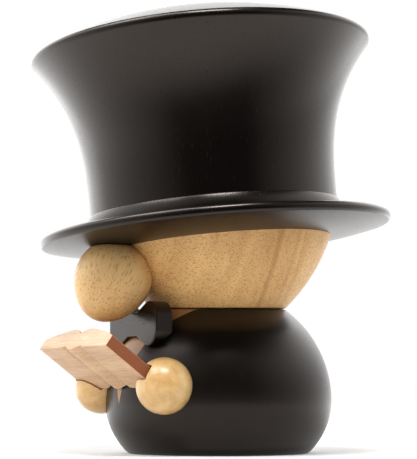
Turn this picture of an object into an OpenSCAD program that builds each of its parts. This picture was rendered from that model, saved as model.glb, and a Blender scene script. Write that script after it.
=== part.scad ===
// Turned wooden gentleman in a top hat, reading an open book.
// Millimetres, +Z up, origin at the middle of the flat base. The figure faces -Y and its left is +X.

/* [Jacket body] */
// Widest radius of the ball-shaped body
body_r = 33.7; // [32:0.1:35]
// Height of the widest line above the base
body_mid = 15.5; // [14:0.1:17]
// Radius of the flat base
base_r = 26.8; // [25:0.1:28]
// Chamfer round the base
base_chamfer = 0.6; // [0.3:0.1:1]
// Radius of the flat top under the head
neck_r = 20; // [19:0.1:21]

/* [Shirt front] */
// Half angle of the V
shirt_half_angle = 21.5; // [18:0.5:24]
// How far the cutter that made the V looked upwards
shirt_rise = 37; // [35:1:40]
// Height of the lower tip of the V on the belly
shirt_tip_z = 14.5; // [14:0.5:19]
// Distance from the body's middle to the floor of the pocket, along the cutter
shirt_floor = 22.2; // [21:0.1:24]

/* [Bow tie] */
// Length of a wing, from the middle to its straight end
tie_wing = 14; // [13:0.1:14.5]
// Half height of a wing
tie_half_h = 6.5; // [6:0.1:6.8]
// Radius of a wing's round corners
tie_corner_r = 4.6; // [4:0.1:5]
// Height of the waist
tie_waist_h = 7; // [6.6:0.1:7.2]
// Half width of the straight waist
tie_waist_half = 2.6; // [2.4:0.1:3]
// Thickness of the upright plate
tie_t = 5.4; // [5:0.1:6]
// Front face of the plate, in front of the axis
tie_fwd = 29.4; // [29.2:0.1:29.5]
// Middle of the front face, above the base
tie_z = 37.4; // [37:0.1:37.5]

/* [Head] */
// Open line between the head and the body
neck_gap = 0.3; // [0.2:0.05:0.5]
// Radius of the bowl's curve, seen from the side
bowl_curve = 52; // [48:1:60]
// Height of the head before the hat's slope is cut
bowl_h = 25.5; // [25:0.5:27]
// Radius of the bowl at that height
bowl_top_r = 34.7; // [34:0.1:35.5]

/* [Nose] */
// Half length of the egg
nose_half_l = 12; // [11.5:0.1:12.2]
// Radius of the egg, half way up
nose_r = 11; // [10.6:0.1:11.1]
// How much the egg widens towards its upper end, as a share of that radius
nose_taper = 0.14; // [0.08:0.02:0.2]
// How far the egg's upper end leans back into the head
nose_lean = 28.7; // [27:0.1:30]
// Middle of the egg, in front of the axis
nose_fwd = 36.4; // [36.2:0.1:36.8]
// Middle of the egg, above the base
nose_z = 49.5; // [49.4:0.1:49.8]

/* [Hat] */
// Forward tilt of the hat
hat_tilt = 3.7; // [3:0.1:4.5]
// Sideways tilt of the hat, towards the figure's right
hat_roll = 3.2; // [2.5:0.1:4]
// Height at which the hat's axis meets the head's axis
hat_pivot_z = 55.5; // [55:0.1:56]
// Distance from there to the widest line of the brim
hat_lift = 10.25; // [10:0.05:11]
// Radius of the brim at its widest line
brim_r = 52.8; // [51:0.1:54]
// Radius of the round below the widest line
brim_edge_low = 1.1; // [0.9:0.05:1.3]
// Radius of the round above the widest line
brim_edge_top = 1.55; // [1.4:0.05:1.7]
// Straight part of the edge between the two rounds
brim_edge_h = 0.35; // [0.2:0.05:0.5]
// How far the flat underside lies below the widest line
brim_under = 3.55; // [3.2:0.05:3.8]
// Radius of the flat part of the underside
brim_flat_r = 36; // [35.5:0.5:38]
// Height of the foot of the crown above the widest line
brim_rise = 6.9; // [6.2:0.1:7.4]
// Radius of the band below the crown, at its foot
brim_band_r = 38.9; // [38.6:0.1:39.5]
// Radius of the band's bulge in side view
brim_band_curve = 12; // [10:0.5:16]
// Width of the ledge between the band and the crown
brim_ledge = 0.5; // [0.4:0.05:0.6]
// Depth of the shallow groove inside the edge
brim_groove = 0.65; // [0.4:0.05:0.8]
// Distance from the round of the edge to that groove
brim_groove_in = 1.6; // [1.2:0.1:2]
// Radius of the crown where it stands on the brim
crown_base_r = 37.4; // [36.8:0.1:37.8]
// Radius of the crown at its rim
crown_rim_r = 51.5; // [50:0.1:52.5]
// Height of the crown from the brim to its widest line
crown_h = 47.9; // [46:0.1:50]
// How late the crown flares out
crown_flare = 2.9; // [2.6:0.1:3.1]
// Radius of the round rim
crown_rim_round = 1.7; // [1.4:0.1:2]
// Height of the domed top above the rim
crown_dome_h = 10.5; // [9.5:0.5:11.5]

/* [Hands] */
// Radius of a ball hand
hand_r = 8; // [7.6:0.1:8.4]
// Middle of a hand, to the side of the figure
hand_side = 18.7; // [18.2:0.1:19.2]
// Middle of a hand, in front of the axis
hand_fwd = 29.5; // [29:0.1:30]
// Middle of a hand, above the base
hand_z = 19.6; // [19:0.1:20.2]

/* [Book] */
// Width of the open book
book_w = 41.4; // [39:0.1:42]
// Height of its pages
book_h = 19.7; // [18:0.1:21]
// Thickness at the fore-edge
book_edge_t = 3.6; // [3:0.1:3.8]
// Thickness where the pages rise beside the gutter
book_hump_t = 6.5; // [5.5:0.1:6.8]
// Distance from the gutter to the highest point of a page
book_hump_x = 5; // [4:0.1:6]
// Thickness at the gutter
book_gutter_t = 4.9; // [4.5:0.1:5.2]
// How round a page rises out of the gutter, less is steeper
book_page_rise = 0.7; // [0.6:0.05:1]
// How late a page falls towards the fore-edge
book_page_fall = 1.45; // [1.2:0.05:1.8]
// Width of the round spine on the cover
spine_w = 6.6; // [5:0.1:7]
// How far the spine stands out of the cover
spine_h = 0.75; // [0.5:0.05:1]
// Width of the joint beside the spine
joint_w = 3; // [2:0.1:3.5]
// Depth of that joint
joint_d = 0.45; // [0.3:0.05:0.6]
// Slope of the book against the floor
book_slope = 36; // [35:1:38]
// Lower edge of the cover, in front of the axis
book_fwd = 33.2; // [33:0.1:34]
// Lower edge of the cover, above the base
book_z = 19; // [18.8:0.1:19.2]
// Room round the book in the hands' slots
book_room = 0.35; // [0.25:0.05:0.4]
// Room between the book and the belly
belly_room = 0.5; // [0.4:0.1:0.8]

/* [Dowels] */
// Diameter of the neck and hat dowels
big_dowel_d = 8; // [7:0.5:8]
// Diameter of the dowels in the hands, nose and tie
small_dowel_d = 4; // [3:0.5:4]
// Length of the neck dowel inside the body
neck_dowel_in = 14; // [10:0.5:16]
// Length of the neck dowel inside the head
neck_dowel_up = 9; // [8:0.5:9.5]
// Length of the hat dowel inside the head
hat_dowel_in = 8; // [6:0.5:8.5]
// Length of the hat dowel inside the crown
hat_dowel_up = 12; // [8:0.5:16]
// Length of the nose dowel to each side of the seam
nose_dowel_half = 6; // [4:0.5:7]
// Length of a hand dowel inside the hand
hand_dowel_in = 7; // [5:0.5:7]
// Length of a hand dowel inside the body
hand_dowel_out = 8; // [6:0.5:10]
// Length of the tie dowel inside the tie
tie_dowel_in = 2.4; // [1.8:0.1:3]
// Length of the tie dowel behind the tie
tie_dowel_out = 8; // [6:0.5:9]
// Glue line left round every glued face
glue = 0.05; // [0.03:0.01:0.08]

/* [Hidden] */
$fn = 96;
far = 200;
over = 1;
arc_n = 24;
page_n = 16;
curve_n = 8;
rise_crowd = 1.5;
edge_from = -75;
edge_to = 75;
edge_step = 15;
rim_to = 66;
neck_z = body_mid + sqrt(body_r * body_r - neck_r * neck_r);
belly_b = body_mid / sqrt(1 - pow(base_r / body_r, 2));
base_turn = acos(base_r / body_r);
neck_turn = acos(neck_r / body_r);
head_z = neck_z + neck_gap;
brim_under_h = hat_lift - brim_under;
brim_top_h = hat_lift + brim_rise;
groove_x = brim_r - brim_edge_top * (1 - cos(edge_to)) - brim_groove_in;
groove_h = hat_lift + brim_edge_h + brim_edge_top * sin(edge_to) - brim_groove;
rim_x = crown_rim_r - crown_rim_round;
rim_h = brim_top_h + crown_h;
rim_turn = atan2(crown_flare * (crown_rim_r - crown_base_r), crown_h);
wall_end_x = rim_x + crown_rim_round * cos(rim_turn);
wall_end_h = rim_h - crown_rim_round * sin(rim_turn);
dome_r0 = rim_x + crown_rim_round * cos(rim_to);
dome_h0 = rim_h + crown_rim_round * sin(rim_to);
dome_curve = (dome_r0 * dome_r0 + crown_dome_h * crown_dome_h) / (2 * crown_dome_h);
dome_turn = asin(dome_r0 / dome_curve);
hand_turn = atan2(hand_side, hand_fwd);
spine_x = spine_w / 2;
spine_r = (spine_x * spine_x + spine_h * spine_h) / (2 * spine_h);
joint_x = spine_x + joint_w;
tie_belly = sqrt(body_r * body_r - pow(tie_z - body_mid, 2)) - tie_fwd;
tie_peg_end = tie_belly + tie_dowel_in;
tie_slope = atan2(tie_half_h - tie_waist_h / 2, tie_wing - tie_corner_r - tie_waist_half);

stain = "#24211f";
pale = "#d6b079";
cherry = "#cf9f7c";
beech = "#c9a578";

// Side view of the body, grown by a skin: a flattened lower half, a round upper half and two flats
function body_side(skin = 0) = concat(
    [[0, -skin], [base_r - base_chamfer + skin, -skin]],
    [for (i = [1 : arc_n]) let (a = base_turn * (1 - i / arc_n))
        [(body_r + skin) * cos(a), body_mid - (belly_b + skin) * sin(a)]],
    [for (i = [1 : arc_n]) let (a = neck_turn * i / arc_n)
        [(body_r + skin) * cos(a), body_mid + (body_r + skin) * sin(a)]],
    [[0, neck_z + skin * sin(neck_turn)]]);

// Arc of radius r between two points of a side view, bulging outwards
function bulge_centre(a, b, r) = let (d = b - a, h = sqrt(r * r - (d * d) / 4) / norm(d))
    (a + b) / 2 + h * [-d[1], d[0]];
function bulge(a, b, r, n) = let (c = bulge_centre(a, b, r),
    t0 = atan2(a[1] - c[1], a[0] - c[0]), t1 = atan2(b[1] - c[1], b[0] - c[0]))
    [for (i = [0 : n]) let (t = t0 + (t1 - t0) * i / n) c + r * [cos(t), sin(t)]];

// Side view of the bowl-shaped head
function bowl_side(skin = 0) = concat(
    [[0, head_z - skin]],
    bulge([neck_r + skin, head_z - skin], [bowl_top_r + skin, head_z + bowl_h], bowl_curve, arc_n),
    [[0, head_z + bowl_h]]);

// Side view of the brim: flat and sloping underside, round edge, flat top and a bulging band below the crown
function brim_side(skin = 0) = concat(
    [[0, brim_under_h - skin], [brim_flat_r, brim_under_h - skin]],
    [for (a = [edge_from : edge_step : 0])
        [brim_r - brim_edge_low, hat_lift] + (brim_edge_low + skin) * [cos(a), sin(a)]],
    [for (a = [0 : edge_step : edge_to])
        [brim_r - brim_edge_top, hat_lift + brim_edge_h] + (brim_edge_top + skin) * [cos(a), sin(a)]],
    [[groove_x, groove_h]],
    bulge([brim_band_r, groove_h], [crown_base_r + brim_ledge, brim_top_h], brim_band_curve, curve_n),
    [[0, brim_top_h]]);

// Side view of the crown: a late flare that runs into a round rim and a dome
crown_side = concat(
    [[0, brim_top_h + glue]],
    [for (i = [0 : arc_n]) let (u = i / arc_n)
        [crown_base_r + (wall_end_x - crown_base_r) * pow(u, crown_flare),
         brim_top_h + glue + (wall_end_h - brim_top_h - glue) * u]],
    [for (i = [1 : curve_n]) let (a = (rim_to + rim_turn) * i / curve_n - rim_turn)
        [rim_x, rim_h] + crown_rim_round * [cos(a), sin(a)]],
    [for (i = [1 : arc_n]) let (a = dome_turn * (1 - i / arc_n))
        [dome_curve * sin(a), dome_h0 + crown_dome_h - dome_curve * (1 - cos(a))]]);

// Side view of the egg, wider towards its upper end
egg_side = [for (i = [-arc_n : arc_n]) let (a = 90 * i / arc_n)
    [nose_r * (1 + nose_taper * sin(a)) * cos(a), nose_half_l * sin(a)]];

// Thickness of the pages at a distance x from the gutter
function page(x) = x < book_hump_x
    ? book_gutter_t + (book_hump_t - book_gutter_t) * pow(1 - pow(1 - x / book_hump_x, 2), book_page_rise)
    : book_hump_t
        - (book_hump_t - book_edge_t) * pow((x - book_hump_x) / (book_w / 2 - book_hump_x), book_page_fall);

// Upper side of a page block, from the fore-edge to the gutter, with closer points where it rises
function page_points(room = 0) = concat(
    [for (i = [0 : page_n]) let (x = book_w / 2 + (book_hump_x - book_w / 2) * i / page_n)
        [x, page(x) + room]],
    [for (i = [1 : curve_n]) let (x = book_hump_x * pow(1 - i / curve_n, rise_crowd))
        [x, page(x) + room]]);

// Half of the book seen from its end: round spine, joint, cover board, fore-edge and page
book_half = concat(
    [for (i = [0 : curve_n]) let (x = spine_x * i / curve_n)
        [x, spine_r - spine_h - sqrt(spine_r * spine_r - x * x)]],
    [[spine_x + joint_w / 2, joint_d], [joint_x, 0], [book_w / 2, 0]],
    page_points());
function mirrored(points) = [for (i = [len(points) - 2 : -1 : 1]) [-points[i][0], points[i][1]]];
book_outline = concat(book_half, mirrored(book_half));

// Outline of the bow tie: a straight waist, and wings that widen to a straight end with round corners
tie_quarter = concat(
    [for (i = [0 : curve_n]) let (a = (90 + tie_slope) * i / curve_n)
        [tie_wing - tie_corner_r, tie_half_h - tie_corner_r] + tie_corner_r * [cos(a), sin(a)]],
    [[tie_waist_half, tie_waist_h / 2]]);
function backwards(points) = [for (i = [len(points) - 1 : -1 : 0]) points[i]];
function flipped(points, sx, sy) = [for (p = points) [sx * p[0], sy * p[1]]];
tie_outline = concat(
    tie_quarter,
    backwards(flipped(tie_quarter, -1, 1)),
    flipped(tie_quarter, -1, -1),
    backwards(flipped(tie_quarter, 1, -1)));

module body_solid(skin = 0) rotate_extrude() polygon(body_side(skin));
module bowl_solid(skin = 0) rotate_extrude() polygon(bowl_side(skin));
module brim_solid(skin = 0) rotate_extrude() polygon(brim_side(skin));

// Places things on the hat's tilted axis, with zero height where that axis meets the head's
module on_hat_axis() translate([0, 0, hat_pivot_z]) rotate([hat_tilt, -hat_roll, 0]) children();

// Places things on a hand's dowel axis: zero at the middle of the ball, +Z into the body
module on_hand_axis(side)
    translate([side * hand_side, -hand_fwd, hand_z])
        rotate([0, 0, side * hand_turn]) rotate([-90, 0, 0]) children();

// Places things on the tie's front face, with +Z out of the face
module on_tie() translate([0, -tie_fwd, tie_z]) rotate([90, 0, 0]) children();

// Radius of the head at a height
function bowl_radius(z) =
    let (c = bulge_centre([neck_r, head_z], [bowl_top_r, head_z + bowl_h], bowl_curve))
    c[0] + sqrt(bowl_curve * bowl_curve - pow(z - c[1], 2));

// Places things on the nose dowel: zero at the seam, +Z forward
module on_nose_dowel() translate([0, -bowl_radius(nose_z), nose_z]) rotate([90, 0, 0]) children();

// Places things on the book's lower end: X across, Y out of the pages, +Z towards the upper end
module on_book() translate([0, -book_fwd, book_z]) rotate([90 - book_slope, 0, 0]) children();

// Wedge of the V, from the pocket's floor outwards
module shirt_wedge(skin = 0) {
    tip_fwd = sqrt(body_r * body_r - pow(shirt_tip_z - body_mid, 2));
    tip = (shirt_tip_z - body_mid) * cos(shirt_rise) - tip_fwd * sin(shirt_rise);
    wide = far * tan(shirt_half_angle);
    shift = skin / sin(shirt_half_angle);
    translate([0, 0, body_mid]) rotate([90 - shirt_rise, 0, 0]) translate([0, 0, shirt_floor - skin])
        linear_extrude(far)
            polygon([[0, tip - shift], [wide, tip - shift + far], [-wide, tip - shift + far]]);
}

module drill(d, from, to) translate([0, 0, from]) cylinder(d = d + 2 * glue, h = to - from);
module peg(d, from, to) translate([0, 0, from]) cylinder(d = d, h = to - from);

// Slot for a corner of the book, closed at the fore-edge
module hand_slot(side)
    on_book() translate([0, 0, -book_room]) linear_extrude(far) polygon(concat(
        [for (p = page_points(book_room)) [side * (p[0] + book_room), p[1]]],
        [[0, -book_room], [side * (book_w / 2 + book_room), -book_room]]));

module jacket_body() color(stain) difference() {
    body_solid();
    shirt_wedge(glue);
    translate([0, 0, neck_z]) drill(big_dowel_d, -neck_dowel_in - glue, over);
    for (side = [-1, 1]) {
        on_hand_axis(side) sphere(r = hand_r + glue);
        on_hand_axis(side) drill(small_dowel_d, 0, hand_dowel_out + hand_r + glue);
    }
    on_tie() drill(small_dowel_d, -tie_t - tie_dowel_out - glue, 0);
}

module shirt_front() color(pale) difference() {
    intersection() {
        body_solid();
        shirt_wedge();
    }
    on_tie() drill(small_dowel_d, -tie_t - tie_dowel_out - glue, 0);
}

module bow_tie() color(stain) difference() {
    on_tie() translate([0, 0, -tie_t]) linear_extrude(tie_t) polygon(tie_outline);
    body_solid(glue);
    on_tie() drill(small_dowel_d, -tie_t - over, tie_peg_end + glue);
}

module bow_tie_dowel() color(beech) on_tie()
    peg(small_dowel_d, -tie_t - tie_dowel_out, tie_peg_end);

module hand(side) color(pale) difference() {
    on_hand_axis(side) sphere(r = hand_r);
    hand_slot(side);
    on_hand_axis(side) drill(small_dowel_d, hand_r - hand_dowel_in - glue, hand_r + over);
}
module left_hand() hand(1);
module right_hand() hand(-1);

module hand_dowel(side) color(beech) on_hand_axis(side)
    peg(small_dowel_d, hand_r - hand_dowel_in, hand_r + hand_dowel_out);
module left_hand_dowel() hand_dowel(1);
module right_hand_dowel() hand_dowel(-1);

module neck_dowel() color(beech) translate([0, 0, neck_z])
    peg(big_dowel_d, -neck_dowel_in, neck_gap + neck_dowel_up);

module head() color(pale) difference() {
    bowl_solid();
    on_hat_axis() translate([-far / 2, -far / 2, brim_under_h - glue]) cube(far);
    translate([0, 0, head_z]) drill(big_dowel_d, -over, neck_dowel_up + glue);
    on_hat_axis() drill(big_dowel_d, brim_under_h - hat_dowel_in - glue, brim_under_h + over);
    on_nose_dowel() drill(small_dowel_d, -nose_dowel_half - glue, nose_dowel_half);
}

module nose() color(pale) difference() {
    translate([0, -nose_fwd, nose_z]) rotate([-nose_lean, 0, 0]) rotate_extrude() polygon(egg_side);
    bowl_solid(glue);
    on_hat_axis() brim_solid(glue);
    on_nose_dowel() drill(small_dowel_d, -nose_dowel_half, nose_dowel_half + glue);
}

module nose_dowel() color(beech) on_nose_dowel() peg(small_dowel_d, -nose_dowel_half, nose_dowel_half);

module hat_brim() color(stain) on_hat_axis() difference() {
    brim_solid();
    drill(big_dowel_d, brim_under_h - over, brim_top_h + over);
}

module hat_crown() color(stain) on_hat_axis() difference() {
    rotate_extrude() polygon(crown_side);
    drill(big_dowel_d, brim_top_h - over, brim_top_h + hat_dowel_up + glue);
}

module hat_dowel() color(beech) on_hat_axis()
    peg(big_dowel_d, brim_under_h - hat_dowel_in, brim_top_h + hat_dowel_up);

module open_book() color(cherry) difference() {
    on_book() linear_extrude(book_h) polygon(book_outline);
    body_solid(belly_room);
}

jacket_body();
shirt_front();
bow_tie();
bow_tie_dowel();
left_hand();
left_hand_dowel();
right_hand();
right_hand_dowel();
neck_dowel();
head();
nose();
nose_dowel();
hat_brim();
hat_crown();
hat_dowel();
open_book();
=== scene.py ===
import math
import bmesh
import bpy
import numpy as np
from mathutils import Matrix, Vector


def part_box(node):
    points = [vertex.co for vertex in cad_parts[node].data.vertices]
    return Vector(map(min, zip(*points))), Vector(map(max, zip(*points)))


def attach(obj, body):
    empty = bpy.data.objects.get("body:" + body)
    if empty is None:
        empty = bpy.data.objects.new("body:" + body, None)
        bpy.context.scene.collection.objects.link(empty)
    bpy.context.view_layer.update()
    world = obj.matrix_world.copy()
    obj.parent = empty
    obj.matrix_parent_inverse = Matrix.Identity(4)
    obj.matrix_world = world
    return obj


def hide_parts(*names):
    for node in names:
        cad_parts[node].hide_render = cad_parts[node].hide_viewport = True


# Turned wooden gentleman with a flared top hat and a small open book.
# Lengths in the dictionaries are millimetres, angles are degrees, rows and columns count points.
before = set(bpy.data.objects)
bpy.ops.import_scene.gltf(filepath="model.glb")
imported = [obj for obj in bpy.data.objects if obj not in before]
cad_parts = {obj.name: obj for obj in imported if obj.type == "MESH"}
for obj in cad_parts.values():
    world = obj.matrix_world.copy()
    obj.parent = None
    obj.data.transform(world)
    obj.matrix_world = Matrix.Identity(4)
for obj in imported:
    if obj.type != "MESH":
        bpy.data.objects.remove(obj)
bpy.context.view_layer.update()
mm = 0.001
glueLine = 0.05  # left round every glued face
tiny = 1e-6  # keeps a division away from zero
print("frame loaded:", len(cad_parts), "nodes")


# Small tools

meshing = {"weld": 0.002, "sharp": 30, "pegColumns": 48}


def linear(hexColour):
    # sRGB hex to linear RGBA
    raw = np.array([int(hexColour[i:i + 2], 16) for i in (1, 3, 5)]) / 255
    flat = np.where(raw <= 0.04045, raw / 12.92, ((raw + 0.055) / 1.055) ** 2.4)
    return (*flat.tolist(), 1.0)


def turned3(axis, degrees):
    # 3 by 3 matrix that turns points about X, Y or Z
    return np.array(Matrix.Rotation(math.radians(degrees), 3, axis))


def moved(points, matrix, shift):
    # points carried from a piece's own axes to the figure's
    return points @ matrix.T + np.array(shift)


def crossing(measure, low, high, steps=40):
    # halves the stretch low..high until measure changes sign, for a whole array at once
    for step in range(steps):
        middle = (low + high) / 2
        inside = measure(middle) < 0
        low = np.where(inside, middle, low)
        high = np.where(inside, high, middle)
    return (low + high) / 2


def softMax(a, b, blend):
    # the larger of two distances, with the edge between them rounded over blend
    near = np.maximum(blend - np.abs(a - b), 0) / blend
    return np.maximum(a, b) + near * near * blend / 4


def arc(centre, radius, start, end, count):
    # points on a circle from one angle to another
    angle = np.radians(np.linspace(start, end, count))
    return np.stack([centre[0] + radius * np.cos(angle), centre[1] + radius * np.sin(angle)], axis=1)


def line(start, end, count):
    # evenly spaced points between two points
    return np.linspace(start, end, count)


def lathe(profile, columns):
    # radius and height of a side view carried round the Z axis
    angle = np.linspace(0, 2 * math.pi, columns, endpoint=False)
    radius, height = profile[:, :1], profile[:, 1:]
    return np.stack([radius * np.cos(angle), radius * np.sin(angle), height + 0 * angle], axis=-1)


def bulgeMiddle(low, high, radius):
    # middle of the circle through two points of a side view, on the inner side
    step = np.subtract(high, low)
    back = math.sqrt(radius ** 2 - step @ step / 4) / math.sqrt(step @ step)
    return np.add(low, high) / 2 + back * np.array([-step[1], step[0]])


def inward(outline):
    # unit normals of a closed outline that runs anticlockwise, pointing inside
    along = np.roll(outline, -1, axis=0) - np.roll(outline, 1, axis=0)
    normal = np.stack([-along[:, 1], along[:, 0]], axis=1)
    return normal / np.linalg.norm(normal, axis=1)[:, None]


def plate(outline, lowAt, highAt, edgeRound, middle, capRows=14, rimRows=7, wallRows=16):
    # a star-shaped outline between a lower and an upper surface, both given as height over x and y;
    # the rims are quarter circles of radius edgeRound
    inset = outline + inward(outline) * edgeRound
    shares = np.linspace(0, 1, capRows)[:, None, None]
    cap = middle + (inset - middle) * shares
    turn = np.linspace(0, math.pi / 2, rimRows)[1:, None]
    rim = outline + inward(outline) * edgeRound * (1 - np.sin(turn))[:, :, None]
    drop = edgeRound * (1 - np.cos(turn))
    wallLow = lowAt(rim[-1]) + edgeRound
    wallHigh = highAt(rim[-1]) - edgeRound
    rise = np.linspace(0, 1, wallRows)[1:-1, None]
    wall = np.repeat(outline[None], wallRows - 2, axis=0)
    rows = [np.dstack([cap, lowAt(cap)[..., None]]),
            np.dstack([rim, (lowAt(rim) + drop)[..., None]]),
            np.dstack([wall, (wallLow + (wallHigh - wallLow) * rise)[..., None]]),
            np.dstack([rim[::-1], (highAt(rim) - drop)[::-1, :, None]]),
            np.dstack([cap[::-1], highAt(cap)[::-1, :, None]])]
    return np.concatenate(rows)


def shade(mesh):
    # smooth, with edges left crisp where the faces turn sharply
    mesh.shade_smooth()
    mesh.set_sharp_from_angle(angle=math.radians(meshing["sharp"]))


def solid(name, grid):
    # rows of closed loops skinned with quads; rows that shrink to a point close the ends
    rows, columns = grid.shape[:2]
    index = np.arange(rows * columns).reshape(rows, columns)
    beside = np.roll(index, -1, axis=1)
    quads = np.stack([index[:-1], beside[:-1], beside[1:], index[1:]], axis=-1).reshape(-1, 4)
    mesh = bpy.data.meshes.new(name)
    mesh.from_pydata((grid.reshape(-1, 3) * mm).tolist(), [], quads.tolist())
    work = bmesh.new()
    work.from_mesh(mesh)
    bmesh.ops.remove_doubles(work, verts=work.verts, dist=meshing["weld"] * mm)
    bmesh.ops.recalc_face_normals(work, faces=work.faces)
    work.to_mesh(mesh)
    work.free()
    shade(mesh)
    made = bpy.data.objects.new(name, mesh)
    bpy.context.scene.collection.objects.link(made)
    return made


def finishMesh(made):
    # bakes the live modifiers into the mesh
    evaluated = made.evaluated_get(bpy.context.evaluated_depsgraph_get())
    baked = bpy.data.meshes.new_from_object(evaluated)
    made.modifiers.clear()
    old = made.data
    made.data = baked
    bpy.data.meshes.remove(old)
    shade(baked)


def carve(made, operation, *tools):
    # cuts tool solids out of a piece (DIFFERENCE) or keeps what they share (INTERSECT)
    for tool in tools:
        cut = made.modifiers.new(tool.name, "BOOLEAN")
        cut.operation = operation
        cut.solver = "EXACT"
        cut.object = tool
    finishMesh(made)
    for tool in tools:
        spent = tool.data
        bpy.data.objects.remove(tool)
        bpy.data.meshes.remove(spent)


def prism(outline, low, high, matrix, shift):
    # a flat outline carried straight up from low to high, closed by fans
    middle = outline.mean(axis=0)
    levels = [(0, low), (1, low), (1, high), (0, high)]
    rows = [np.c_[middle + (outline - middle) * share, np.full(len(outline), z)] for share, z in levels]
    return solid("tool", moved(np.array(rows), matrix, shift))


def peg(radius, low, high, matrix, shift):
    # a plain round tool for a dowel hole
    return prism(arc((0, 0), radius, 0, 360, meshing["pegColumns"] + 1)[:-1], low, high, matrix, shift)


def stands(made, body, node):
    # the piece stands for a node of the frame, rides on its body, and reports how well it fits
    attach(made, body)
    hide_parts(node)
    low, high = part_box(node)
    flat = np.empty(len(made.data.vertices) * 3, dtype=np.float32)
    made.data.vertices.foreach_get("co", flat)
    points = flat.reshape(-1, 3)
    off = max(np.abs(points.min(0) - low).max(), np.abs(points.max(0) - high).max()) / mm
    print(f"{made.name}: {len(made.data.polygons)} faces, {off:.2f} mm off its node's box")


# Jacket body and shirt front

# baseRoundIn and baseRoundUp are shares of the base's soft edge, and the two turns make room for the rounds
jacket = {"ballRadius": 33.7, "widestHeight": 15.5, "baseRadius": 26.8, "baseRound": 0.7, "baseRoundIn": 0.3,
          "baseRoundUp": 0.16, "baseTurn": 2, "neckRadius": 20, "neckRound": 0.25, "neckTurn": 0.5,
          "flatRows": 8, "bellyRows": 70, "chestRows": 90, "columns": 300}
neckHeight = jacket["widestHeight"] + math.sqrt(jacket["ballRadius"] ** 2 - jacket["neckRadius"] ** 2)
bellyDepth = jacket["widestHeight"] / math.sqrt(1 - (jacket["baseRadius"] / jacket["ballRadius"]) ** 2)
ballMiddle = np.array([0, 0, jacket["widestHeight"]])
# the neck joint isn't quite square
neck = {"slant": 2.4, "towards": 58, "reach": 8, "dowelRadius": 4, "dowelDown": 14, "dowelUp": 9,
        "overcut": 1}


def neckSlant(points):
    # heights near the neck line sink towards the figure's front left,
    # and that fades out smoothly over a reach above and below the line
    swing = math.radians(neck["towards"])
    ahead = np.maximum(points[..., 0] * math.sin(swing) - points[..., 1] * math.cos(swing), 0)
    near = np.clip(1 - np.abs(points[..., 2] - neckHeight) / neck["reach"], 0, 1)
    sink = math.tan(math.radians(neck["slant"])) * ahead * near ** 2 * (3 - 2 * near)
    return np.stack([points[..., 0], points[..., 1], points[..., 2] - sink], axis=-1)


def jacketProfile():
    # flat base with a soft edge, a half ellipse up to the widest line, a circle above it, and a flat top
    low = math.degrees(math.acos(jacket["baseRadius"] / jacket["ballRadius"]))
    high = math.degrees(math.acos(jacket["neckRadius"] / jacket["ballRadius"]))
    unit = arc((0, 0), 1, jacket["baseTurn"] - low, 0, jacket["bellyRows"])
    belly = unit * [jacket["ballRadius"], bellyDepth] + [0, ballMiddle[2]]
    chest = arc((0, ballMiddle[2]), jacket["ballRadius"], 0, high - jacket["neckTurn"], jacket["chestRows"])
    soft = jacket["baseRound"]
    edge = np.array([[jacket["baseRadius"] - soft, 0],
                     [jacket["baseRadius"] - soft * jacket["baseRoundIn"], soft * jacket["baseRoundUp"]]])
    rim = np.array([[jacket["neckRadius"] - jacket["neckRound"], neckHeight]])
    return np.concatenate([line((0, 0), edge[0], jacket["flatRows"])[:-1], edge, belly, chest[1:], rim,
                           line(rim[0], (0, neckHeight), jacket["flatRows"])[1:]])


def bellyAlong(points, turn, middle, radius):
    # height over a tilted plane at which a line square to it leaves the ball of the body
    missed = -999.0  # far below, for lines that pass the ball by
    start = points[..., :1] * turn[:, 0] + points[..., 1:] * turn[:, 1] + middle - ballMiddle
    toward = start @ turn[:, 2]
    under = toward ** 2 - (start ** 2).sum(-1) + radius ** 2
    return np.where(under > 0, np.sqrt(np.maximum(under, 0)) - toward, missed)


shirt = {"halfAngle": 21.5, "cutterRise": 37, "tipHeight": 14.5, "pocketFloor": 22.2, "cutterReach": 80,
         "cutterEnd": 60}
shirtTurn = turned3("X", 90 - shirt["cutterRise"])


def shirtWedge(grow):
    # the V, carried outwards along the cutter from the pocket's floor
    rise = math.radians(shirt["cutterRise"])
    half = math.radians(shirt["halfAngle"])
    up = shirt["tipHeight"] - ballMiddle[2]
    tip = up * math.cos(rise) - math.sqrt(jacket["ballRadius"] ** 2 - up ** 2) * math.sin(rise)
    tip -= grow / math.sin(half)
    reach = shirt["cutterReach"]
    side = reach * math.tan(half)
    outline = np.array([[0, tip], [side, tip + reach], [-side, tip + reach]])
    return prism(outline, shirt["pocketFloor"] - grow, shirt["cutterEnd"], shirtTurn, ballMiddle)


# Hands

hand = {"radius": 8, "side": 18.7, "forward": 29.5, "height": 19.6, "slotRoom": 0.35, "slotRows": 40,
        "slotLength": 60, "dowelRadius": 2, "dowelIn": 7, "dowelOut": 8, "overcut": 2, "columns": 128,
        "voxel": 0.16, "sanding": 0.5, "sandings": 4}


def handPlace(side):
    # turn and middle of a hand: its own Z points into the body
    swing = math.degrees(math.atan2(hand["side"], hand["forward"]))
    matrix = turned3("Z", side * swing) @ turned3("X", -90)
    return matrix, (side * hand["side"], -hand["forward"], hand["height"])


def ball(radius, side):
    # half circle carried round the hand's own axis
    matrix, middle = handPlace(side)
    profile = arc((0, 0), radius, -90, 90, hand["columns"] // 2 + 1)
    return solid("ball", moved(lathe(profile, hand["columns"]), matrix, middle))


# Bow tie

tie = {"wing": 14, "halfHeight": 6.5, "cornerRadius": 4.6, "waistHeight": 7, "waistHalf": 2.6, "thick": 5.4,
       "forward": 29.4, "height": 37.4, "edgeRound": 0.35, "dowelRadius": 2, "dowelOut": 8, "cornerRows": 24,
       "columns": 300}
tieTurn = turned3("X", 90)
tieMiddle = np.array([0, -tie["forward"], tie["height"]])


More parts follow.
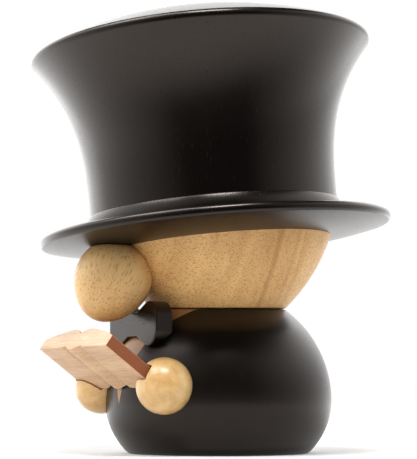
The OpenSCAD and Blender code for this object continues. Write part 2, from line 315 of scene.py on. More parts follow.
def evenly(outline, count):
    # the same closed outline with evenly spaced points
    ring = np.vstack([outline, outline[:1]])
    run = np.r_[0, np.cumsum(np.linalg.norm(np.diff(ring, axis=0), axis=1))]
    at = np.linspace(0, run[-1], count, endpoint=False)
    return np.stack([np.interp(at, run, ring[:, 0]), np.interp(at, run, ring[:, 1])], axis=1)


def tieOutline():
    # one wing's upper half, a round corner and a straight slope to the waist, then its three mirror images
    slope = math.atan2(tie["halfHeight"] - tie["waistHeight"] / 2,
                       tie["wing"] - tie["cornerRadius"] - tie["waistHalf"])
    middle = (tie["wing"] - tie["cornerRadius"], tie["halfHeight"] - tie["cornerRadius"])
    corner = arc(middle, tie["cornerRadius"], 0, 90 + math.degrees(slope), tie["cornerRows"])
    quarter = np.vstack([corner, [[tie["waistHalf"], tie["waistHeight"] / 2]]])
    upper = np.vstack([quarter, quarter[::-1] * [-1, 1]])
    return evenly(np.vstack([upper, -upper]), tie["columns"])


def tieBack(points):
    # coped to the belly, and never thicker than the plate
    return np.maximum(-tie["thick"], bellyAlong(points, tieTurn, tieMiddle, jacket["ballRadius"] + glueLine))


def tieFront(points):
    # flat, at the plate's own zero
    return np.zeros(points.shape[:-1])


# Hat

hat = {"tilt": 3.7, "roll": 3.2, "pivotHeight": 55.5, "lift": 10.25, "dowelRadius": 4, "dowelUp": 12,
       "columns": 320}
hatTurn = turned3("Y", -hat["roll"]) @ turned3("X", hat["tilt"])
hatPivot = np.array([0, 0, hat["pivotHeight"]])
brim = {"radius": 52.8, "edgeLow": 1.1, "edgeTop": 1.55, "edgeHeight": 0.35, "edgeTo": 75, "under": 3.55,
        "flatRadius": 35, "dish": 1.6, "rise": 6.9, "bandRadius": 38.9, "bandCurve": 9.5, "ledge": 0.5,
        "bandRound": 0.5, "groove": 0.65, "grooveIn": 1.6}
brimRows = {"under": 12, "dish": 30, "lip": 24, "edge": 30, "groove": 8, "top": 16, "band": 30, "round": 16,
            "seat": 12, "bore": 6}
crown = {"baseRadius": 37.4, "rimRadius": 51.5, "height": 47.9, "flare": 2.9, "rimRound": 1.7, "rimTo": 66,
         "domeHeight": 10.5}
crownRows = {"bore": 6, "foot": 14, "wall": 120, "rim": 50, "dome": 60}
brimUnder = hat["lift"] - brim["under"]
brimTop = hat["lift"] + brim["rise"]
rimLevel = brimTop + crown["height"]
brimLip = arc((brim["radius"] - brim["edgeLow"], hat["lift"]), brim["edgeLow"], -brim["edgeTo"], 0,
              brimRows["lip"])


def hatHeight(points):
    # height along the hat's axis
    return (points - hatPivot) @ hatTurn[:, 2]


def brimUnderAt(radius):
    # height of the underside: flat over the head, then up to the edge as a power of the distance
    out = np.clip((radius - brim["flatRadius"]) / (brimLip[0][0] - brim["flatRadius"]), 0, 1)
    return brimUnder + (brimLip[0][1] - brimUnder) * out ** brim["dish"]


def brimProfile():
    # flat and sloping underside, two arcs round the edge, a flat top in a shallow groove,
    # and a band whose side is an arc that a small round closes below the crown
    bore = hat["dowelRadius"] + glueLine
    radius = np.concatenate([np.linspace(bore, brim["flatRadius"], brimRows["under"])[:-1],
                             np.linspace(brim["flatRadius"], brimLip[0][0], brimRows["dish"])[:-1]])
    under = np.stack([radius, brimUnderAt(radius)], axis=1)
    edgeMiddle = (brim["radius"] - brim["edgeTop"], hat["lift"] + brim["edgeHeight"])
    top = arc(edgeMiddle, brim["edgeTop"], 0, brim["edgeTo"], brimRows["edge"])
    flat = top[-1] - [brim["grooveIn"], brim["groove"]]
    foot = np.array([brim["bandRadius"], flat[1]])
    middle = bulgeMiddle(foot, (crown["baseRadius"] + brim["ledge"], brimTop), brim["bandCurve"])
    inner = brim["bandCurve"] - brim["bandRound"]
    low = math.degrees(math.asin((foot[1] - middle[1]) / brim["bandCurve"]))
    high = math.degrees(math.asin((brimTop - brim["bandRound"] - middle[1]) / inner))
    soft = middle + inner * np.array([math.cos(math.radians(high)), math.sin(math.radians(high))])
    band = np.concatenate([arc(middle, brim["bandCurve"], low, high, brimRows["band"]),
                           arc(soft, brim["bandRound"], high, 90, brimRows["round"])[1:]])
    return np.concatenate([under, brimLip, top, line(top[-1], flat, brimRows["groove"])[1:-1],
                           line(flat, foot, brimRows["top"])[:-1], band,
                           line(band[-1], (bore, brimTop), brimRows["seat"])[1:],
                           line((bore, brimTop), (bore, brimUnder), brimRows["bore"])[1:]])


def crownProfile():
    # bore, foot, a wall whose flare grows as a power of the height, an arc round the rim, and a dome
    bore, roof = hat["dowelRadius"] + glueLine, brimTop + hat["dowelUp"] + glueLine
    foot = brimTop + glueLine
    spread = crown["rimRadius"] - crown["baseRadius"]
    lean = math.degrees(math.atan2(crown["flare"] * spread, crown["height"]))
    rimMiddle = (crown["rimRadius"] - crown["rimRound"], rimLevel)
    rim = arc(rimMiddle, crown["rimRound"], -lean, crown["rimTo"], crownRows["rim"])
    up = np.linspace(0, 1, crownRows["wall"])[:, None]
    wall = np.hstack([crown["baseRadius"] + (rim[0][0] - crown["baseRadius"]) * up ** crown["flare"],
                      foot + (rim[0][1] - foot) * up])
    reach, shoulder = rim[-1]
    curve = (reach ** 2 + crown["domeHeight"] ** 2) / (2 * crown["domeHeight"])
    half = math.degrees(math.asin(reach / curve))
    dome = arc((0, shoulder + crown["domeHeight"] - curve), curve, 90 - half, 90, crownRows["dome"])
    return np.concatenate([[[0, roof], [bore, roof]],
                           line((bore, roof), (bore, foot), crownRows["bore"])[1:],
                           line((bore, foot), wall[0], crownRows["foot"])[1:-1], wall, rim[1:], dome[1:]])


# Head and nose

head = {"gap": 0.3, "curve": 52, "height": 25.5, "topRadius": 34.7, "edgeRound": 0.35, "searchTurn": 40,
        "bowlRows": 90, "capRows": 8, "columns": 300}
headHeight = neckHeight + head["gap"]
bowlMiddle = bulgeMiddle((jacket["neckRadius"], headHeight),
                         (head["topRadius"], headHeight + head["height"]), head["curve"])


def headGrid():
    # bore and foot, the bowl's arc up to the hat's plane in each direction, and the slanted top
    angle = np.linspace(0, 2 * math.pi, head["columns"], endpoint=False)
    footTurn = math.atan2(headHeight - bowlMiddle[1], jacket["neckRadius"] - bowlMiddle[0])
    lastTurn = footTurn + math.radians(head["searchTurn"])

    def onBowl(turn):
        # the bowl's side view at an angle of its arc, carried round the axis
        radius = bowlMiddle[0] + head["curve"] * np.cos(turn)
        return np.stack([radius * np.cos(angle), radius * np.sin(angle),
                         bowlMiddle[1] + head["curve"] * np.sin(turn) + 0 * angle], axis=-1)

    top = crossing(lambda turn: hatHeight(onBowl(turn)) - brimUnder + glueLine,
                   np.full_like(angle, footTurn), np.full_like(angle, lastTurn))
    start = footTurn + head["edgeRound"] / head["curve"]
    bowl = np.stack([onBowl(start + (top - start) * share) for share in np.linspace(0, 1, head["bowlRows"])])
    bore, roof = neck["dowelRadius"] + glueLine, headHeight + neck["dowelUp"] + glueLine
    foot = jacket["neckRadius"] - head["edgeRound"]
    inside = lathe(np.array([[0, roof], [bore, roof], [bore, headHeight], [foot / 2, headHeight],
                             [foot, headHeight]]), head["columns"])
    middle = hatPivot + hatTurn[:, 2] * (brimUnder - glueLine)
    shares = np.linspace(0, 1, head["capRows"])[1:]
    cap = np.stack([bowl[-1] + (middle - bowl[-1]) * share for share in shares])
    return np.concatenate([inside, bowl, cap])


nose = {"halfLength": 12, "radius": 11, "taper": 0.14, "lean": 28.7, "forward": 36.4, "height": 49.5,
        "seamRound": 0.3, "seam": 0.16, "searchReach": 20.0, "columns": 320, "rows": 220}
noseTurn = turned3("X", -nose["lean"])
noseMiddle = np.array([0, -nose["forward"], nose["height"]])


def noseDistance(points):
    # outside the egg, whose radius grows upwards, inside the bowl or above the brim's underside is positive
    own = (points - noseMiddle) @ noseTurn
    wide = nose["radius"] * (1 + nose["taper"] * np.clip(own[..., 2] / nose["halfLength"], -1, 1))
    size = np.stack([wide, wide, np.full_like(wide, nose["halfLength"])], axis=-1)
    near, far = np.linalg.norm(own / size, axis=-1), np.linalg.norm(own / size ** 2, axis=-1)
    egg = near * (near - 1) / np.maximum(far, tiny)
    side = np.stack([np.hypot(points[..., 0], points[..., 1]), points[..., 2]], axis=-1)
    bowl = head["curve"] + nose["seam"] - np.linalg.norm(side - bowlMiddle, axis=-1)
    onHat = (points - hatPivot) @ hatTurn
    under = onHat[..., 2] + glueLine - brimUnderAt(np.hypot(onHat[..., 0], onHat[..., 1]))
    return softMax(softMax(egg, bowl, nose["seamRound"]), under, nose["seamRound"])


def noseGrid():
    # from the egg's middle, the distance in every direction at which the wood ends
    across = np.linspace(0, 2 * math.pi, nose["columns"], endpoint=False)
    down = np.linspace(0, math.pi, nose["rows"])[:, None]
    own = np.stack([np.sin(down) * np.cos(across), np.sin(down) * np.sin(across),
                    np.cos(down) + 0 * across], axis=-1)
    ray = own @ noseTurn.T
    reach = crossing(lambda far: noseDistance(noseMiddle + ray * far[..., None]),
                     np.zeros(ray.shape[:2]), np.full(ray.shape[:2], nose["searchReach"]))
    return noseMiddle + ray * reach[..., None]


# Book

# rise and fall are powers, crowding draws points together at the gutter, and the fore-edge's upper corner
# is rounded as if the page ran straight to cornerAim there
book = {"width": 41.4, "height": 19.7, "edge": 3.6, "hump": 6.5, "humpAt": 5, "gutter": 4.9, "rise": 0.7,
        "fall": 1.45, "spineWidth": 6.6, "spineProud": 0.75, "jointWidth": 3, "jointDepth": 0.45,
        "slope": 36, "forward": 33.2, "lift": 19, "bellyRoom": 0.5, "edgeRound": 0.3, "cornerRound": 0.45,
        "cornerRows": 7, "cornerSpare": 2.2, "cornerAim": 3, "capMiddle": 2.6, "rows": 181, "crowding": 1.5}
bookTurn = turned3("X", 90 - book["slope"])
bookMiddle = np.array([0, -book["forward"], book["lift"]])


def filleted(corners, radius, count, spare):
    # polygon whose corners are rounded: each becomes a quadratic curve that starts and ends a radius away
    # from the corner, or at one part in spare of a short side
    before, after = np.roll(corners, 1, axis=0), np.roll(corners, -1, axis=0)
    toBefore, toAfter = before - corners, after - corners
    reachBefore = np.minimum(radius, np.linalg.norm(toBefore, axis=1) / spare)[:, None]
    reachAfter = np.minimum(radius, np.linalg.norm(toAfter, axis=1) / spare)[:, None]
    start = corners + toBefore / np.linalg.norm(toBefore, axis=1)[:, None] * reachBefore
    end = corners + toAfter / np.linalg.norm(toAfter, axis=1)[:, None] * reachAfter
    t = np.linspace(0, 1, count)[None, :, None]
    curve = (1 - t) ** 2 * start[:, None] + 2 * t * (1 - t) * corners[:, None] + t ** 2 * end[:, None]
    return curve.reshape(-1, 2)


def pageAt(x):
    # thickness over the distance from the gutter: a round rise, then a fall as a power of the distance
    climb = (1 - (1 - np.minimum(x / book["humpAt"], 1)) ** 2) ** book["rise"]
    share = np.maximum(x - book["humpAt"], 0) / (book["width"] / 2 - book["humpAt"])
    top = book["gutter"] + (book["hump"] - book["gutter"]) * climb
    return top - (book["hump"] - book["edge"]) * share ** book["fall"]


def coverAt(x):
    # a spine that is a low arc, then a joint that dips as a cosine and comes back
    half, proud = book["spineWidth"] / 2, book["spineProud"]
    radius = (half ** 2 + proud ** 2) / (2 * proud)
    spine = radius - proud - np.sqrt(radius ** 2 - np.minimum(x, half) ** 2)
    dip = np.clip((x - half) / book["jointWidth"], 0, 1)
    return spine + book["jointDepth"] * (1 - np.cos(2 * math.pi * dip)) / 2


def bookOutline():
    # cover from the left to the right fore-edge, then the pages back again
    half, soft = book["width"] / 2, book["cornerRound"]
    share = np.linspace(-1, 1, book["rows"])
    x = (half - soft) * np.sign(share) * np.abs(share) ** book["crowding"]  # closer points at the gutter
    under, over = np.c_[x, coverAt(np.abs(x))], np.c_[x, pageAt(np.abs(x))][::-1]
    corners = np.array([[half, 0], [half, pageAt(half)], [0, book["cornerAim"]], [0, 0]])
    rounded = filleted(corners, soft, book["cornerRows"], book["cornerSpare"])
    right = rounded[:2 * book["cornerRows"]]  # the two corners at the fore-edge
    left = right[::-1] * [-1, 1]
    return np.concatenate([under, right, over, left])


def bookFoot(points):
    # the lower end, coped clear of the belly
    ballRadius = jacket["ballRadius"] + book["bellyRoom"]
    return np.maximum(0, bellyAlong(points, bookTurn, bookMiddle, ballRadius))


def bookHead(points):
    # the upper end, flat
    return np.full(points.shape[:-1], book["height"])


def handSlot(side):
    # the page block's end view with room round it, carried along the book through the hand
    x = np.linspace(book["width"] / 2, 0, hand["slotRows"])
    room = hand["slotRoom"]
    pages = np.c_[side * (x + room), pageAt(x) + room]
    floor = np.array([[0, -room], [side * (book["width"] / 2 + room), -room]])
    return prism(np.concatenate([pages, floor])[::side], -room, hand["slotLength"], bookTurn, bookMiddle)


# Building the pieces

jacketPiece = solid("jacketBody", neckSlant(lathe(jacketProfile(), jacket["columns"])))
shirtPiece = solid("shirtFront", neckSlant(lathe(jacketProfile(), jacket["columns"])))
tieHole = [tie["dowelRadius"] + glueLine, -tie["thick"] - tie["dowelOut"] - glueLine, 0, tieTurn, tieMiddle]
seats = [ball(hand["radius"] + glueLine, side) for side in (1, -1)]
sockets = [peg(hand["dowelRadius"] + glueLine, 0, hand["radius"] + hand["dowelOut"], *handPlace(side))
           for side in (1, -1)]
neckHole = peg(neck["dowelRadius"] + glueLine, -neck["dowelDown"] - glueLine, neck["overcut"], np.eye(3),
               (0, 0, neckHeight))
carve(jacketPiece, "DIFFERENCE", shirtWedge(glueLine), *seats, *sockets, neckHole, peg(*tieHole))
carve(shirtPiece, "INTERSECT", shirtWedge(0))
carve(shirtPiece, "DIFFERENCE", peg(*tieHole))
stands(jacketPiece, "figure", "jacket_body")
stands(shirtPiece, "figure", "shirt_front")

handPieces = []
for side, label in ((1, "left"), (-1, "right")):
    piece = ball(hand["radius"], side)
    piece.name = label + "Hand"
    hole = peg(hand["dowelRadius"] + glueLine, hand["radius"] - hand["dowelIn"],
               hand["radius"] + hand["overcut"], *handPlace(side))
    carve(piece, "DIFFERENCE", handSlot(side), hole)
    remesh = piece.modifiers.new("soft lips", "REMESH")
    remesh.mode = "VOXEL"
    remesh.voxel_size = hand["voxel"] * mm
    smooth = piece.modifiers.new("sanded", "SMOOTH")
    smooth.factor = hand["sanding"]
    smooth.iterations = hand["sandings"]
    finishMesh(piece)
    stands(piece, "figure", label + "_hand")
    handPieces.append(piece)

tieGrid = plate(tieOutline(), tieBack, tieFront, tie["edgeRound"], np.zeros(2))
tiePiece = solid("bowTie", moved(tieGrid, tieTurn, tieMiddle))
stands(tiePiece, "figure", "bow_tie")

headPiece = solid("head", neckSlant(headGrid()))
stands(headPiece, "figure", "head")
nosePiece = solid("nose", noseGrid())
stands(nosePiece, "figure", "nose")
brimPiece = solid("hatBrim", moved(lathe(brimProfile(), hat["columns"]), hatTurn, hatPivot))
stands(brimPiece, "figure", "hat_brim")
crownPiece = solid("hatCrown", moved(lathe(crownProfile(), hat["columns"]), hatTurn, hatPivot))
stands(crownPiece, "figure", "hat_crown")

bookGrid = plate(bookOutline(), bookFoot, bookHead, book["edgeRound"], np.array([0, book["capMiddle"]]))
bookPiece = solid("openBook", moved(bookGrid, bookTurn, bookMiddle))
stands(bookPiece, "book", "open_book")
print("pieces built")


# Materials

def addNode(tree, kind, settings=None, **links):
    # one shader node: settings go to its sockets or properties, links join other outputs to its sockets,
    # and in0, in1 and so on count the sockets that share a name
    node = tree.nodes.new(kind)

    def socket(key):
        numbered = key[:2] == "in" and key[2:].isdigit()
        return node.inputs[int(key[2:])] if numbered else node.inputs.get(key.replace("_", " "))

    for key, value in (settings or {}).items():
        if socket(key) is not None:
            socket(key).default_value = value
        else:
            setattr(node, key, value)
    for key, source in links.items():
        tree.links.new(source, socket(key))
    return node


def blankMaterial(name):
    # an empty material with a Principled shader on its output
    made = bpy.data.materials.new(name)
    made.use_nodes = True
    tree = made.node_tree
    tree.nodes.clear()
    shader = addNode(tree, "ShaderNodeBsdfPrincipled")
    addNode(tree, "ShaderNodeOutputMaterial", Surface=shader.outputs[0])
    return made, tree, shader


def dress(piece, material):
    # one material over the whole piece
    piece.data.materials.clear()
    piece.data.materials.append(material)


# what every wood shares: the part of each noise that counts, how pores vary, and what they do to the gloss
grain = {"layerSpread": 0.15, "fibreSpread": 0.2, "mottleSpread": 0.2, "poreLeast": 0.4, "poreMore": 0.9,
         "poreCore": 0.6, "poreRough": 0.2, "fibreRough": 0.06}
smooth = {"interpolation_type": "SMOOTHSTEP"}  # for a change of value that starts and ends softly


def timber(name, look):
    # wood seen close: growth layers squeezed through the board, fibres and pores drawn out along it,
    # and a darker tone where the surface looks along the fibres
    made, tree, shader = blankMaterial(name)
    along, through = Vector(look["along"]).normalized(), Vector(look["through"])
    through = (through - along * along.dot(through)).normalized()
    turn = Matrix((through, along.cross(through), along)).to_euler()
    place = addNode(tree, "ShaderNodeTexCoord")
    board = addNode(tree, "ShaderNodeMapping", {"Rotation": turn, "Scale": [1 / mm] * 3},
                    Vector=place.outputs["Object"])
    sway = addNode(tree, "ShaderNodeTexNoise", {"Scale": 1 / look["swaySize"], "Detail": 2},
                   Vector=board.outputs[0])
    space = addNode(tree, "ShaderNodeVectorMath", {"operation": "MULTIPLY_ADD", "in1": [look["sway"]] * 3},
                    in0=sway.outputs["Color"], in2=board.outputs[0])

    def pattern(kind, size, settings):
        # a texture whose features measure size millimetres through the layers, across and along the fibres
        squeezed = addNode(tree, "ShaderNodeMapping", {"Scale": [1 / each for each in size]},
                           Vector=space.outputs[0])
        return addNode(tree, kind, {"Scale": 1, **settings}, Vector=squeezed.outputs[0])

    def streaks(size, detail, spread):
        # noise drawn out in that way, whose values within spread of the middle fill 0 to 1
        noise = pattern("ShaderNodeTexNoise", size, {"Detail": detail})
        return addNode(tree, "ShaderNodeMapRange", {"From Min": 0.5 - spread, "From Max": 0.5 + spread},
                       Value=noise.outputs[0]).outputs[0]

    def blend(start, *parts):
        # a plain number plus each source times its share
        total = None
        for source, share in parts:
            step = addNode(tree, "ShaderNodeMath", {"operation": "MULTIPLY_ADD", "in1": share, "in2": start},
                           in0=source)
            if total is not None:
                tree.links.new(total, step.inputs[2])
            total = step.outputs[0]
        return total

    layer = streaks(look["layer"], 3, grain["layerSpread"])
    fibre = streaks(look["fibre"], 4, grain["fibreSpread"])
    mottle = streaks(look["mottle"], 3, grain["mottleSpread"])
    cells = pattern("ShaderNodeTexVoronoi", look["poreCell"], {})
    luck = addNode(tree, "ShaderNodeSeparateColor", None, Color=cells.outputs["Color"])
    reach = blend(look["poreReach"] * grain["poreLeast"],
                  (luck.outputs[0], look["poreReach"] * grain["poreMore"]))
    away = addNode(tree, "ShaderNodeMath", {"operation": "DIVIDE"}, in0=cells.outputs["Distance"], in1=reach)
    pore = addNode(tree, "ShaderNodeMapRange", {"From Min": 1, "From Max": grain["poreCore"]},
                   Value=away.outputs[0]).outputs[0]
    facing = addNode(tree, "ShaderNodeVectorMath", {"operation": "DOT_PRODUCT", "in1": along},
                     in0=place.outputs["Normal"])
    square = addNode(tree, "ShaderNodeMath", {"operation": "ABSOLUTE"}, in0=facing.outputs["Value"])
    end = addNode(tree, "ShaderNodeMapRange", {"From Min": look["endFrom"]},
                  Value=square.outputs[0]).outputs[0]
    tones = [(layer, look["layerShare"]), (fibre, look["fibreShare"]), (mottle, look["mottleShare"]),
             (end, look["endShare"])]
    depth = addNode(tree, "ShaderNodeSeparateXYZ", None, Vector=space.outputs[0])
    for where, half, strength in look.get("bands", ()):  # darker layers at a known depth of the board
        past = addNode(tree, "ShaderNodeMath", {"operation": "SUBTRACT", "in1": where + look["sway"] / 2},
                       in0=depth.outputs[0])
        aside = addNode(tree, "ShaderNodeMath", {"operation": "ABSOLUTE"}, in0=past.outputs[0])
        band = addNode(tree, "ShaderNodeMapRange", {**smooth, "From Min": half, "From Max": 0},
                       Value=aside.outputs[0])
        tones.append((band.outputs[0], strength))
    tone = blend(look["tone"], *tones)
    colour = addNode(tree, "ShaderNodeMix", {"data_type": "RGBA", "in6": linear(look["light"]),
                                             "in7": linear(look["dark"])}, in0=tone)
    stroke = blend(0, (pore, look["poreShare"]))
    drawn = addNode(tree, "ShaderNodeMix", {"data_type": "RGBA", "in7": linear(look["pore"])},
                    in0=stroke, in6=colour.outputs[2])
    rough = blend(look["rough"], (pore, grain["poreRough"]), (fibre, grain["fibreRough"]),
                  (end, look["endRough"]))
    height = blend(1, (pore, -1), (fibre, look["fibreRelief"]))
    bump = addNode(tree, "ShaderNodeBump", {"Distance": look["relief"] * mm}, Height=height)
    tree.links.new(drawn.outputs[2], shader.inputs["Base Color"])
    tree.links.new(rough, shader.inputs["Roughness"])
    tree.links.new(bump.outputs[0], shader.inputs["Normal"])
    shader.inputs["Specular IOR Level"].default_value = look["specular"]
    shader.inputs["Specular Tint"].default_value = linear(look["gloss"])
    shader.inputs["Coat Weight"].default_value = look["coat"]
    shader.inputs["Coat Roughness"].default_value = look["coatRough"]
    return made


# Rubberwood, turned, sanded and lacquered: honey coloured, with faint brown layers and open brown pores
rubberwood = {"light": "#eabf82", "dark": "#b57a3e", "pore": "#6e4526", "gloss": "#ffffff",
              "along": (1, 0, 0), "through": (0, 1, 0), "swaySize": 18, "sway": 1.2,
              "layer": (3.4, 45, 80), "layerShare": 0.22, "fibre": (0.3, 0.3, 8), "fibreShare": 0.26,
              "mottle": (8, 8, 14), "mottleShare": 0.22, "poreCell": (1.1, 1.1, 6), "poreReach": 0.2,
              "poreShare": 0.75, "endFrom": 0.7, "endShare": 0.22, "endRough": 0, "tone": -0.15,
              "rough": 0.45, "fibreRelief": 0.25, "relief": 0.05, "coat": 0, "coatRough": 0.25,
              "specular": 0.5}
# painted light: the head and the nose are lighter copies of the rubberwood, making up for the shade under
# the brim
headLook = {**rubberwood, "light": "#f8c883", "pore": "#a3562a", "poreCell": (0.45, 0.45, 1.6),
            "poreReach": 0.46, "poreShare": 0.45, "rough": 0.5, "relief": 0.02,
            "bands": ((0.6, 1.6, 0.28), (4.6, 1.2, 0.16), (7.4, 1.2, 0.16), (10.2, 1, 0.12))}
noseLook = {**rubberwood, "light": "#f1c888", "pore": "#94582c", "along": noseTurn[:, 2],
            "through": (0.5, 0.8, 0), "poreCell": (0.55, 0.55, 3.4), "poreReach": 0.38, "poreShare": 0.5,
            "relief": 0.02}
leftHandLook = {**rubberwood, "light": "#e8c384", "dark": "#bc7c2e", "along": (0.84, -0.52, 0.12),
                "through": (0, 0, 1), "mottle": (3, 3, 4), "mottleShare": 0.4, "endShare": 0.3, "tone": -0.2,
                "poreShare": 0.3, "poreReach": 0.14, "rough": 0.35, "coat": 0.5}
rightHandLook = {**leftHandLook, "along": (0.5, 0.8, 0.3)}
# painted shade: the shirt is a much darker copy of the rubberwood, standing in for the shade it sits in
# under the tie
shirtPaintedShadeLook = {**rubberwood, "along": (0, 0.4, 0.9), "light": "#b08656"}

# Pearwood, moulded and oiled: pinkish, close grained, with brown end grain at the fore-edges
bookLook = {**rubberwood, "light": "#e8c49c", "dark": "#8a4a24", "pore": "#8a5a3c", "through": (0, 0, 1),
            "layer": (2.2, 30, 60), "fibre": (0.22, 0.22, 12), "fibreShare": 0.35, "poreCell": (0.6, 0.6, 3),
            "poreShare": 0.3, "endFrom": 0.6, "endShare": 1.3, "rough": 0.5, "relief": 0.03}

# Ash stained black under a satin lacquer: nearly black, with a brown cast and fine pores that stay open
stainedAsh = {"light": "#0c0807", "dark": "#060403", "pore": "#030202", "gloss": "#ffefe4",
              "along": (0, 0, 1), "through": (0, 1, 0), "swaySize": 20, "sway": 1.5, "layer": (4, 40, 90),
              "layerShare": 0.4, "fibre": (0.35, 0.35, 10), "fibreShare": 0.4, "mottle": (12, 12, 20),
              "mottleShare": 0.4, "poreCell": (0.9, 0.9, 7), "poreReach": 0.16, "poreShare": 0.7,
              "endFrom": 0.8, "endShare": 0.2, "endRough": 0.15, "tone": -0.1, "rough": 0.22,
              "fibreRelief": 0.3, "relief": 0.01, "coat": 0, "coatRough": 0.2, "specular": 0.38}
jacketLook = {**stainedAsh, "specular": 0.32, "rough": 0.29}
hatLook = {**stainedAsh, "along": hatTurn[:, 2]}
tieLook = {**stainedAsh, "along": (1, 0, 0), "through": (0, 0, 1)}

# Beech dowel rod, bare: pinkish tan, even, with short flecks
beechLook = {**rubberwood, "light": "#d9b48a", "dark": "#b98d63", "pore": "#8d6038", "along": (0, 0, 1),
             "poreCell": (0.5, 0.5, 2.5), "poreShare": 0.5, "rough": 0.55}

dowels = [node for key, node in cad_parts.items() if key.endswith("dowel")]
wardrobe = [("jacketStainedAsh", jacketLook, [jacketPiece]),
            ("tieStainedAsh", tieLook, [tiePiece]),
            ("hatStainedAsh", hatLook, [brimPiece, crownPiece]),
            ("headRubberwood", headLook, [headPiece]),
            ("noseRubberwood", noseLook, [nosePiece]),
            ("leftHandRubberwood", leftHandLook, handPieces[:1]),
            ("rightHandRubberwood", rightHandLook, handPieces[1:]),
            ("shirtRubberwoodPaintedShade", shirtPaintedShadeLook, [shirtPiece]),
            ("bookPearwood", bookLook, [bookPiece]),
            ("dowelBeech", beechLook, dowels)]
for name, look, dressed in wardrobe:
    material = timber(name, look)
    for piece in dressed:
        dress(piece, material)
print("materials assigned")


# Studio

# the focal length and the long side are in pixels of the photograph
lens = {"azimuth": 58, "distance": 486, "height": 16.1, "pitch": 5.96, "yaw": 0.344, "focalPixels": 1620,
        "longSide": 459, "sensor": 36, "nearest": 10, "furthest": 50000}
# levels are strengths, raised and ceiling heights are sines of the angle upwards,
# and frontEnds is the cosine of the turn where the dim part ends
roomLight = {"frontLevel": 0.03, "behindLevel": 1.9, "frontEnds": -0.85, "growth": 0.8, "brightTurn": 7,
             "raisedLevel": 1.75, "raisedFrom": 0.15, "raisedTo": 0.5, "ceilingFrom": 0.58, "ceilingTo": 0.8}
# lift is the glow that gloss alone finds near the figure, a painted reflection of a lit table; the ring keys
# dim it right under the figure as painted shade, and gain multiplies the room's level in the far table
table = {"half": 3000, "pale": "#d8d7d5", "far": "#101010", "rough": 0.9, "fadeFrom": 100, "fadeTo": 320,
         "lift": 0.75, "gain": 1.4, "cameraLift": 0.2, "paintedShadeLift": 0.22, "ringFrom": 50, "ringTo": 130}
lamps = {"overhead": {"spot": (360, -200, 950), "aim": 50, "size": 300, "watts": 9},
         "left": {"spot": (-1000, -85, 300), "aim": 60, "size": 930, "watts": 1.9},
         "key": {"spot": (-270, -600, 880), "aim": 50, "size": 450, "watts": 1.9},
         "strip": {"spot": (-80, -500, 980), "aim": 70, "size": 600, "watts": 8, "lights": False},
         "fill": {"spot": (650, -760, 100), "aim": 50, "size": 800, "watts": 3.1, "mirrored": False}}


def photoCamera():
    # stands at the photograph's place and looks along its axis, turned a little left and up
    swing = math.radians(lens["azimuth"])
    out = lens["distance"] * mm
    ahead = math.radians(lens["azimuth"] + lens["yaw"])
    pitch = math.radians(lens["pitch"])
    level = math.cos(pitch)
    view = Vector((-math.sin(ahead) * level, math.cos(ahead) * level, math.sin(pitch)))
    data = bpy.data.cameras.new("photoCamera")
    data.sensor_width = lens["sensor"]
    data.lens = lens["focalPixels"] / lens["longSide"] * lens["sensor"]
    data.clip_start = lens["nearest"] * mm
    data.clip_end = lens["furthest"] * mm
    made = bpy.data.objects.new("photoCamera", data)
    made.location = (math.sin(swing) * out, -math.cos(swing) * out, lens["height"] * mm)
    made.rotation_mode = "QUATERNION"
    made.rotation_quaternion = view.to_track_quat("-Z", "Y")
    bpy.context.scene.collection.objects.link(made)
    bpy.context.scene.camera = made
    return view


def softbox(name, lamp):
    # a square area lamp aimed at a height on the axis; it may be kept out of the gloss, or show only there
    spot = Vector(lamp["spot"]) * mm
    data = bpy.data.lights.new(name, "AREA")
    data.size = lamp["size"] * mm
    data.energy = lamp["watts"]
    made = bpy.data.objects.new(name, data)
    made.location = spot
    made.rotation_mode = "QUATERNION"
    made.rotation_quaternion = (Vector((0, 0, lamp["aim"] * mm)) - spot).to_track_quat("-Z", "Y")
    made.visible_glossy = lamp.get("mirrored", True)
    made.visible_diffuse = lamp.get("lights", True)
    bpy.context.scene.collection.objects.link(made)


def roomLevel(tree, way, view):
    # brightness of the room in a direction: dim where the photograph was taken from,
    # and growing as a power of the turn towards the far side
    turn = Matrix.Rotation(math.radians(roomLight["brightTurn"]), 3, "Z")
    brightest = turn @ Vector((view.x, view.y, 0))
    behind = addNode(tree, "ShaderNodeVectorMath", {"operation": "DOT_PRODUCT", "in1": brightest}, in0=way)
    turned = addNode(tree, "ShaderNodeMapRange", {"From Min": roomLight["frontEnds"]},
                     Value=behind.outputs["Value"])
    grown = addNode(tree, "ShaderNodeMath", {"operation": "POWER", "in1": roomLight["growth"]},
                    in0=turned.outputs["Result"])
    level = addNode(tree, "ShaderNodeMath", {"operation": "MULTIPLY_ADD", "in1": roomLight["behindLevel"],
                                             "in2": roomLight["frontLevel"]}, in0=grown.outputs[0])
    return level.outputs[0]


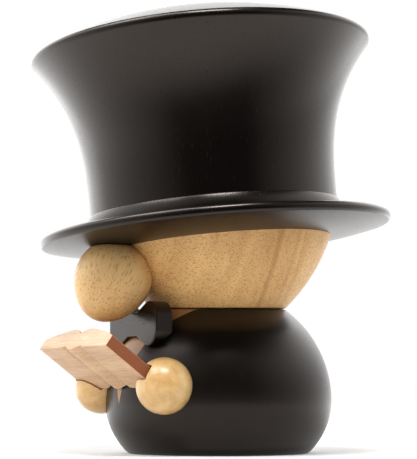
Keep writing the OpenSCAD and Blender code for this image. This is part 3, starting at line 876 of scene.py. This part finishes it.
def backdrop(view):
    # white to the camera; everything else sees the room, brighter half way up and dark overhead
    world = bpy.data.worlds.new("studio")
    bpy.context.scene.world = world
    world.use_nodes = True
    tree = world.node_tree
    tree.nodes.clear()
    way = addNode(tree, "ShaderNodeTexCoord")
    height = addNode(tree, "ShaderNodeSeparateXYZ", None, Vector=way.outputs["Generated"])
    raised = addNode(tree, "ShaderNodeMapRange", {**smooth, "From Min": roomLight["raisedFrom"],
                                                  "From Max": roomLight["raisedTo"], "To Min": 1,
                                                  "To Max": roomLight["raisedLevel"]},
                     Value=height.outputs["Z"])
    ceiling = addNode(tree, "ShaderNodeMapRange", {**smooth, "From Min": roomLight["ceilingTo"],
                                                   "From Max": roomLight["ceilingFrom"],
                                                   "To Min": roomLight["frontLevel"]},
                      Value=height.outputs["Z"])
    upward = addNode(tree, "ShaderNodeMath", {"operation": "MULTIPLY"}, in0=raised.outputs["Result"],
                     in1=ceiling.outputs["Result"])
    seen = addNode(tree, "ShaderNodeMath", {"operation": "MULTIPLY"}, in0=upward.outputs[0],
                   in1=roomLevel(tree, way.outputs["Generated"], view))
    path = addNode(tree, "ShaderNodeLightPath")
    level = addNode(tree, "ShaderNodeMix", {"data_type": "FLOAT", "in3": 1},
                    in0=path.outputs["Is Camera Ray"], in2=seen.outputs[0])
    light = addNode(tree, "ShaderNodeBackground", {"Color": (1, 1, 1, 1)}, Strength=level.outputs[0])
    addNode(tree, "ShaderNodeOutputWorld", Surface=light.outputs[0])


def paleFloor(view):
    # a wide table, pale round the figure, where it takes the shadow; gloss alone sees it glow, a painted
    # reflection that is dimmed right under the figure as painted shade, further out gloss finds the room in
    # it, and the camera only white
    half = table["half"] * mm
    corners = [(-half, -half, 0), (half, -half, 0), (half, half, 0), (-half, half, 0)]
    mesh = bpy.data.meshes.new("floor")
    mesh.from_pydata(corners, [], [(0, 1, 2, 3)])
    made = bpy.data.objects.new("floor", mesh)
    bpy.context.scene.collection.objects.link(made)
    material, tree, shader = blankMaterial("paintedTable")
    place = addNode(tree, "ShaderNodeTexCoord")
    away = addNode(tree, "ShaderNodeVectorMath", {"operation": "LENGTH"}, in0=place.outputs["Object"])
    way = addNode(tree, "ShaderNodeVectorMath", {"operation": "NORMALIZE"}, in0=place.outputs["Object"])
    fade = addNode(tree, "ShaderNodeMapRange", {**smooth, "From Min": table["fadeFrom"] * mm,
                                                "From Max": table["fadeTo"] * mm},
                   Value=away.outputs["Value"]).outputs["Result"]
    # painted shade: right under the figure the glow that gloss finds is dimmed
    ring = addNode(tree, "ShaderNodeMapRange", {**smooth, "From Min": table["ringFrom"] * mm,
                                                "From Max": table["ringTo"] * mm,
                                                "To Min": table["paintedShadeLift"], "To Max": table["lift"]},
                   Value=away.outputs["Value"]).outputs["Result"]
    paint = addNode(tree, "ShaderNodeMix", {"data_type": "RGBA", "in6": linear(table["pale"]),
                                            "in7": linear(table["far"])}, in0=fade)
    tree.links.new(paint.outputs[2], shader.inputs["Base Color"])
    shader.inputs["Roughness"].default_value = table["rough"]
    path = addNode(tree, "ShaderNodeLightPath")
    far = addNode(tree, "ShaderNodeMath", {"operation": "MULTIPLY", "in1": table["gain"]},
                  in0=roomLevel(tree, way.outputs["Vector"], view))
    # painted reflection: a glow that only gloss rays see, near the figure and far out
    toGloss = addNode(tree, "ShaderNodeMix", {"data_type": "FLOAT"}, in0=fade, in2=ring, in3=far.outputs[0])
    toCamera = addNode(tree, "ShaderNodeMapRange", {"To Min": table["cameraLift"]}, Value=fade)
    shine = addNode(tree, "ShaderNodeMath", {"operation": "MULTIPLY"}, in0=path.outputs["Is Glossy Ray"],
                    in1=toGloss.outputs[0])
    strength = addNode(tree, "ShaderNodeMath", {"operation": "MULTIPLY_ADD"}, in2=shine.outputs[0],
                       in0=path.outputs["Is Camera Ray"], in1=toCamera.outputs["Result"])
    glow = addNode(tree, "ShaderNodeEmission", {"Color": (1, 1, 1, 1)}, Strength=strength.outputs[0])
    both = addNode(tree, "ShaderNodeAddShader", None, in0=shader.outputs[0], in1=glow.outputs[0])
    tree.links.new(both.outputs[0], tree.nodes["Material Output"].inputs["Surface"])
    dress(made, material)


viewAlong = photoCamera()
backdrop(viewAlong)
paleFloor(viewAlong)
for name, lamp in lamps.items():
    softbox(name, lamp)
bpy.context.scene.view_settings.view_transform = "Standard"
print("studio ready")
